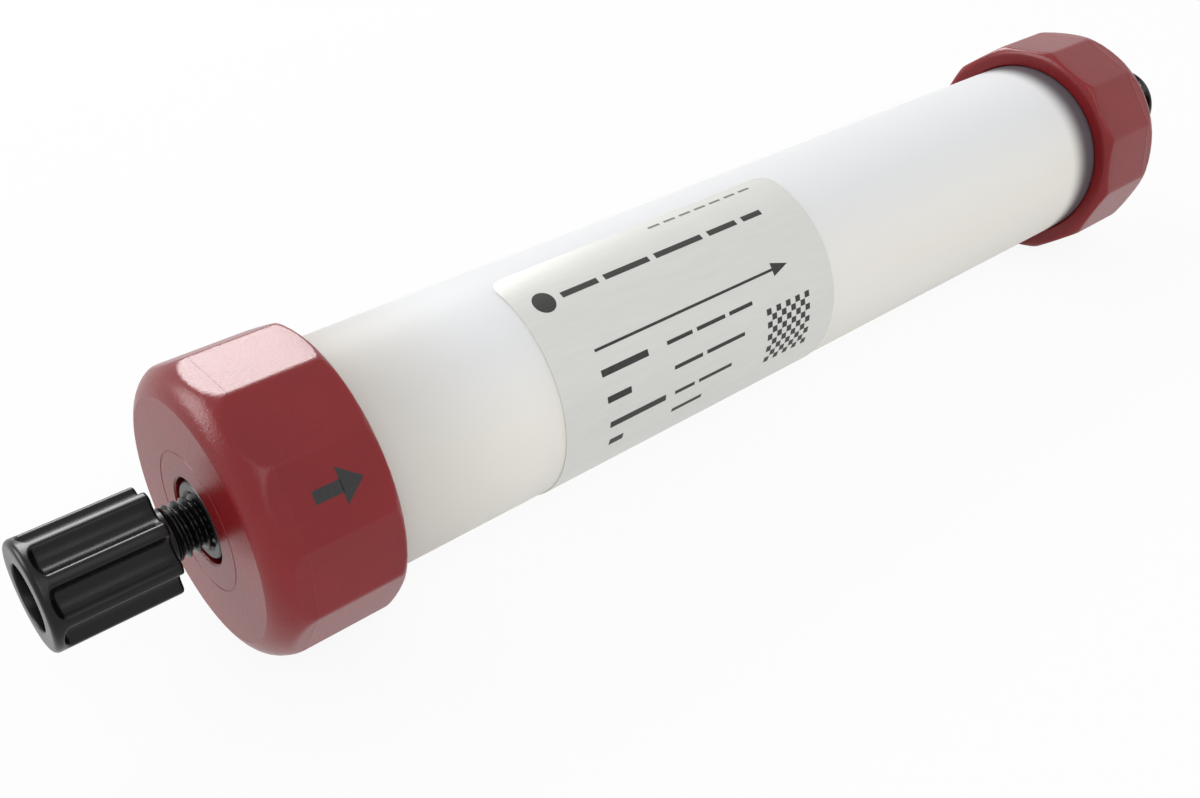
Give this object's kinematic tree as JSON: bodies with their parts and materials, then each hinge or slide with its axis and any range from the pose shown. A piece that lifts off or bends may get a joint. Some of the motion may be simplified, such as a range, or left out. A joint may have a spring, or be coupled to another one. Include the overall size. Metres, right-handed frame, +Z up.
{
  "type": "chromatography column",
  "caption": "Prepacked laboratory chromatography column: milky plastic tube with twelve-sided red caps, dark end pieces, sealed bed, wrap label and black screw-in stop plugs.",
  "frame": {"origin": "on the surface that the column lies on, below the middle of its length", "axes": "+X along the column from inlet to outlet, +Z up, +Y across; the label faces -Y"},
  "size_m": [0.1558, 0.0266, 0.0266],
  "materials": {
    "tube_plastic": "milky, satin",
    "cap_plastic": "glossy moulded red",
    "end_piece_plastic": "satin grey",
    "seal_rubber": "matt",
    "filter_plastic": "porous, matt",
    "bed_gel": "fine beads, wet",
    "label_sheet": "satin film",
    "plug_plastic": "glossy black"
  },
  "bodies": {
    "column": {"column_tube": "tube_plastic", "inlet_cap": "cap_plastic", "outlet_cap": "cap_plastic", "inlet_end_piece": "end_piece_plastic", "outlet_end_piece": "end_piece_plastic", "inlet_seal_ring": "seal_rubber", "outlet_seal_ring": "seal_rubber", "inlet_filter": "filter_plastic", "outlet_filter": "filter_plastic", "packed_bed": "bed_gel", "label": "label_sheet"},
    "inlet_plug": {"inlet_plug": "plug_plastic"},
    "outlet_plug": {"outlet_plug": "plug_plastic"}
  },
  "joints": [
    {"name": "inlet_plug_out", "type": "slide", "parent": "column", "child": "inlet_plug", "axis": [-1, 0, 0], "range_m": [0, 0.02]},
    {"name": "outlet_plug_out", "type": "slide", "parent": "column", "child": "outlet_plug", "axis": [1, 0, 0], "range_m": [0, 0.02]}
  ]
}
